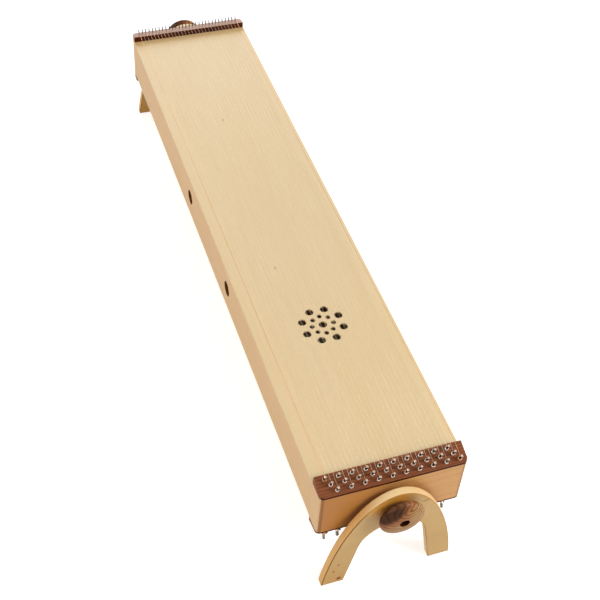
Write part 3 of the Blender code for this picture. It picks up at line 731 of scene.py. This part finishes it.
def makePinBody():
    def squared(turn):
        return 1 / max(abs(cos(turn)), abs(sin(turn)))
    square = pin["square"] / 2
    squareLow = pin["height"] - pin["squareLength"]
    squareTop = pin["height"] - pin["chamfer"]
    levels = [(-0.0015, pin["radius"], 0), (squareLow - 0.0008, pin["radius"], 0),
              (squareLow, pin["radius"] * 0.97, 0.2), (squareLow + 0.0022, square, 0.92),
              (squareTop, square * 0.97, 0.92), (pin["height"], square * 0.97 - pin["chamfer"], 0.85)]
    bm = bmesh.new()
    rings = []
    for height, radius, share in levels:
        ring = []
        for step in range(pin["sides"]):
            turn = 2 * pi * step / pin["sides"]
            reach = radius * (1 + (squared(turn) - 1) * share)
            ring.append(bm.verts.new((reach * cos(turn), reach * sin(turn), height)))
        rings.append(ring)
    bm.faces.new(reversed(rings[0]))
    bm.faces.new(rings[-1])
    for lower, upper in zip(rings, rings[1:]):
        for here in range(pin["sides"]):
            side = bm.faces.new((lower[here - 1], lower[here], upper[here], upper[here - 1]))
            side.material_index = 0 if upper is rings[-1] else 1
    return finishMesh(bm, "tuning pin", angle=40)


def pinPlace(index, face="top"):
    joint = pinJoints[index]
    x, y, z = joint["pos_m"]
    x += pin["bottomShift"] if face == "bottom" else 0
    lean = Matrix.Rotation(asin(joint["axis"][0]), 4, "Y")
    return Matrix.Translation((x, y, wedgeTop(x, face))) @ lean


def makeCoils():
    tree = makeCoilTree()
    coils = {}
    for kind, metal in (("steel", coilWirePaintedBright), ("bronze", woundBronze)):
        radius = pin["wireRadius"][kind]
        coil = applyTree(kind + " coil", tree, {
            "Wire Radius": radius, "Coil Radius": pin["radius"] + radius, "Turns": float(pin["turns"][kind]),
            "Material": metal})
        coil.transform(Matrix.Translation((0, 0, pin["coilLift"] + radius)) @ Matrix.Rotation(pi / 2, 4, "Z"))
        coils[kind] = coil
    return coils


def makeTuningPins():
    pinBody = makePinBody()
    coils = makeCoils()
    goldenAngle = pi * (3 - sqrt(5))
    for face, place in faces:
        together = bmesh.new()
        for index in range(len(pinJoints)):
            outer = index in (0, len(pinJoints) - 1)
            bm = bmesh.new()
            for source, turn in ((pinBody, index * goldenAngle), (coils["bronze" if outer else "steel"], 0)):
                part = source.copy()
                part.transform(pinPlace(index, face) @ Matrix.Rotation(turn, 4, "Z"))
                start = len(bm.faces)
                bm.from_mesh(part)
                bm.faces.ensure_lookup_table()
                for wound in bm.faces[start:] if source is not pinBody else []:
                    wound.material_index = 3 if outer and face == "bottom" else 2
            mesh = bpy.data.meshes.new("tuning pin")
            bm.to_mesh(mesh)
            bm.free()
            if face == "top":
                number = str(index + 1).zfill(2)
                wire = woundBronze if outer else coilWirePaintedBright
                obj = addObject("tuningPin" + number, mesh, nickelPlate, pinSidesPaintedDark, wire)
                handOver(obj, "tuning_pin_" + number + "_body", "nickel", "tuning_pin_" + number)
            else:
                mesh.transform(place)
                together.from_mesh(mesh)
        if face == "bottom":
            mesh = bpy.data.meshes.new("bottom tuning pins")
            together.to_mesh(mesh)
            obj = addObject("bottomTuningPins", mesh, nickelPlate, underBoxPinShade, coilWirePaintedBright, woundBronze)
            handOver(obj, "sound_box", "nickel")
        together.free()


makeTuningPins()
print("tuning pins made")


# Hitch pins and strings

hitch = {
    "pinRadius": 0.0011,
    "pinHeight": 0.010,
    "setback": 0.0075,
    "depth": 0.003,
    "loopLift": 0.0004,
}


string = {"radius": {"steel": 0.00025, "bronze": 0.0005}}


def makeRowTree():
    tree = bpy.data.node_groups.new("hitch pin row", "GeometryNodeTree")
    for name, kind in (("Count", "NodeSocketInt"), ("First Place", "NodeSocketVector"),
                       ("Step", "NodeSocketVector"), ("Pin Radius", "NodeSocketFloat"),
                       ("Pin Height", "NodeSocketFloat"), ("Lean", "NodeSocketFloat"),
                       ("Material", "NodeSocketMaterial")):
        tree.interface.new_socket(name, in_out="INPUT", socket_type=kind)
    tree.interface.new_socket("Geometry", in_out="OUTPUT", socket_type="NodeSocketGeometry")
    given = addNode(tree, "NodeGroupInput").outputs
    line = addNode(tree, "GeometryNodeMeshLine", Count=given["Count"], Start_Location=given["First Place"],
                   Offset=given["Step"])
    shaft = addNode(tree, "GeometryNodeMeshCylinder", Vertices=14, Radius=given["Pin Radius"],
                    Depth=given["Pin Height"])
    dome = addNode(tree, "GeometryNodeMeshIcoSphere", Radius=given["Pin Radius"], Subdivisions=3)
    half = addNode(tree, "ShaderNodeMath", {"operation": "MULTIPLY"}, i0=given["Pin Height"], i1=0.5)
    raised = addNode(tree, "ShaderNodeCombineXYZ", Z=half.outputs[0])
    top = addNode(tree, "GeometryNodeTransform", Geometry=dome.outputs[0], Translation=raised.outputs[0])
    one = addNode(tree, "GeometryNodeJoinGeometry")
    tree.links.new(shaft.outputs[0], one.inputs[0])
    tree.links.new(top.outputs[0], one.inputs[0])
    lean = addNode(tree, "ShaderNodeCombineXYZ", Y=given["Lean"])
    leaning = addNode(tree, "FunctionNodeEulerToRotation", Euler=lean.outputs[0])
    row = addNode(tree, "GeometryNodeInstanceOnPoints", Points=line.outputs[0], Instance=one.outputs[0],
                  Rotation=leaning.outputs[0])
    real = addNode(tree, "GeometryNodeRealizeInstances", Geometry=row.outputs[0])
    dressed = addNode(tree, "GeometryNodeSetMaterial", Geometry=real.outputs[0], Material=given["Material"])
    addNode(tree, "NodeGroupOutput", Geometry=dressed.outputs[0])
    return tree


def makeHitchPins():
    tree = makeRowTree()
    foot = farEnd + hitch["setback"]
    length = hitch["pinHeight"] + hitch["depth"]
    middle = length / 2 - hitch["depth"]
    first = (foot - middle * sin(hitchSlope), stringYs[0], hitchTop(foot) + middle * cos(hitchSlope))
    mesh = applyTree("hitch pins", tree, {
        "Count": len(stringYs), "First Place": first, "Step": (0, stringYs[1] - stringYs[0], 0),
        "Pin Radius": hitch["pinRadius"], "Pin Height": length, "Lean": -hitchSlope, "Material": blackedSteel})
    for face, place in faces:
        copy = mesh.copy()
        copy.transform(place)
        copy.shade_smooth()
        copy.set_sharp_from_angle(angle=radians(40))
        handOver(addObject(face + "HitchPins", copy), "sound_box", "nickel")


def stringRoute(index, radius, face):
    # A loop round the hitch pin, then over the inner edges of both strips to the tuning pin
    y = stringYs[index]
    foot = farEnd + hitch["setback"]
    onStrip = Matrix.Translation((foot, y, hitchTop(foot))) @ Matrix.Rotation(-hitchSlope, 4, "Y")
    lift = radius + hitch["loopLift"]
    side = hitch["pinRadius"] + radius
    turns = [radians(turn) for turn in range(300, -61, -30)]
    loop = [onStrip @ Vector((side * cos(turn), side * sin(turn), lift)) for turn in turns]
    neck = onStrip @ Vector((side * 3.5, 0, lift))
    hitchCrest = farEnd + strips["hitchDepth"] - strips["edge"]
    wedgeCrest = nearEnd - strips["wedgeDepth"] + strips["edge"]
    end = pinPlace(index, face) @ Vector((0, pin["radius"] + radius, pin["coilLift"] + radius))
    return loop + [neck, Vector((hitchCrest, y, hitchTop(hitchCrest) + radius)),
                   Vector((wedgeCrest, end.y, wedgeTop(wedgeCrest, face) + radius)), end]


def makeStrings(name, indices, kind, face, place, slotName, *nodes):
    curve = bpy.data.curves.new(name, "CURVE")
    curve.dimensions = "3D"
    curve.bevel_depth = string["radius"][kind]
    curve.bevel_resolution = 1
    curve.use_fill_caps = True
    for index in indices:
        route = stringRoute(index, string["radius"][kind], face)
        spline = curve.splines.new("POLY")
        spline.points.add(len(route) - 1)
        for point, spot in zip(spline.points, route):
            point.co = (*spot, 1)
    mesh = toMesh(addObject(name, curve))
    mesh.transform(place)
    mesh.shade_smooth()
    metal = musicWire if kind == "steel" else woundBronze
    return handOver(addObject(name, mesh, metal), "sound_box", slotName, *nodes)


def makeAllStrings():
    last = len(pinJoints) - 1
    for face, place in faces:
        makeStrings(face + "PlainStrings", range(1, last), "steel", face, place, "nickel")
        left, right = (0, last) if face == "top" else (last, 0)
        for hand, index in (("left", left), ("right", right)):
            node = face + "_" + hand + "_bronze_string"
            makeStrings(face + hand.title() + "BronzeString", [index], "bronze", face, place, "bronze", node)


makeHitchPins()
makeAllStrings()
print("strings made")


# Arch feet, measured from the bolt's axis

arch = {
    "crown": 0.042,
    "halfSpan": 0.125,
    "outerDrop": 0.306,
    "innerRadius": 0.064,
    "innerDrop": 0.104,
    "flareDegrees": 11,
    "edge": 0.0014,
    "boltHole": 0.0054,
}
archHeight = arch["crown"] + arch["outerDrop"]
footTurn = asin((arch["outerDrop"] - boltHeight) / archHeight)
archHalfWidth = arch["halfSpan"] / cos(footTurn)


def archOutline(outerSteps=72, innerSteps=40):
    flare = radians(arch["flareDegrees"])
    outer = []
    for step in range(outerSteps + 1):
        turn = footTurn + (pi - 2 * footTurn) * step / outerSteps
        outer.append((archHalfWidth * cos(turn), -arch["outerDrop"] + archHeight * sin(turn)))
    inner = []
    for step in range(innerSteps + 1):
        turn = pi - flare - (pi - 2 * flare) * step / innerSteps
        inner.append((arch["innerRadius"] * cos(turn), -arch["innerDrop"] + arch["innerRadius"] * sin(turn)))
    footX = inner[-1][0] + (inner[-1][1] + boltHeight) * tan(flare)
    return outer + [(-footX, -boltHeight)] + inner + [(footX, -boltHeight)]


def endPlace(side, x):
    turn = Matrix.Rotation(side * pi / 2, 4, "Z") @ Matrix.Rotation(pi / 2, 4, "X")
    return Matrix.Translation((x, 0, boltHeight)) @ turn


# Knobs: a lens, flatter in front, with a blind hole in the middle of the front

knob = {
    "diameter": 0.0820,
    "frontBulge": 0.0136,
    "backBulge": 0.0181,
    "rimHeight": 0.0153,
    "holeDiameter": 0.018,
    "pocketDiameter": 0.0156,
    "pocketDepth": 0.015,
    "holeEdge": 0.0010,
}


def knobProfile(frontSteps=28, backSteps=12):
    radius = knob["diameter"] / 2
    hole = knob["holeDiameter"] / 2
    first = asin((hole + knob["holeEdge"]) / radius)
    last = asin(knob["rimHeight"] / knob["backBulge"])
    rim = knob["rimHeight"]
    front = [first + (pi / 2 - first) * step / frontSteps for step in range(frontSteps + 1)]
    back = [last * (step + 1) / backSteps for step in range(backSteps)]
    shell = [(radius * sin(turn), rim + knob["frontBulge"] * cos(turn)) for turn in front]
    shell += [(radius * cos(turn), rim - knob["backBulge"] * sin(turn)) for turn in back]
    pocket = knob["pocketDiameter"] / 2
    lip = shell[0][1] - knob["holeEdge"] * 0.8
    return shell + [(pocket, 0), (pocket, knob["pocketDepth"]), (hole, knob["pocketDepth"]), (hole, lip)]


def ringProfile(outer, inner, low, high, edge):
    return [(outer - edge, high), (outer, high - edge), (outer, low + edge), (outer - edge, low),
            (inner, low), (inner, high)]


def makeFeet():
    for end, side in (("near", 1), ("far", -1)):
        low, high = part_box(end + "_arch")
        mesh = plate(end + " arch", archOutline(), [ringOf(arch["boltHole"], 32)], high.x - low.x, arch["edge"],
                     endPlace(side, (low.x + high.x) / 2), (1, 2, 1))
        foot = addObject(end + "Arch", mesh, birch, birchPlies, birchDarkEdges)
        handOver(foot, end + "_arch_foot", "birch", end + "_arch")
        low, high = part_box(end + "_knob")
        back = min(abs(low.x), abs(high.x))
        mesh = turned(end + " knob", knobProfile(), 96, endPlace(side, side * back))
        for wall in mesh.polygons:
            away = wall.center - Vector((wall.center.x, 0, boltHeight))
            wall.material_index = 1 if away.length < knob["holeDiameter"] * 0.51 else 0
        handle = addObject(end + "Knob", mesh, zebrano, zebranoHoleShade)
        handOver(handle, end + "_hand_knob", "striped_wood", end + "_knob")
        for piece, title, body, material, slotName in (
            ("spacer", "Spacer", "sound_box", walnut, "walnut"),
            ("washer", "Washer", end + "_clamp_washer", zincPlate, "nickel"),
            ("knob_insert", "KnobInsert", end + "_hand_knob", zincPlate, "nickel"),
        ):
            node = end + "_" + piece
            low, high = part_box(node)
            near, far = sorted((abs(low.x), abs(high.x)))
            profile = ringProfile(high.y, arch["boltHole"], 0, far - near, 0.0003)
            mesh = turned(node, profile, 48, endPlace(side, side * near))
            handOver(addObject(end + title, mesh, material), body, slotName, node)
        recolour(end + "_bolt", zincPlate)


makeFeet()
print("feet made")
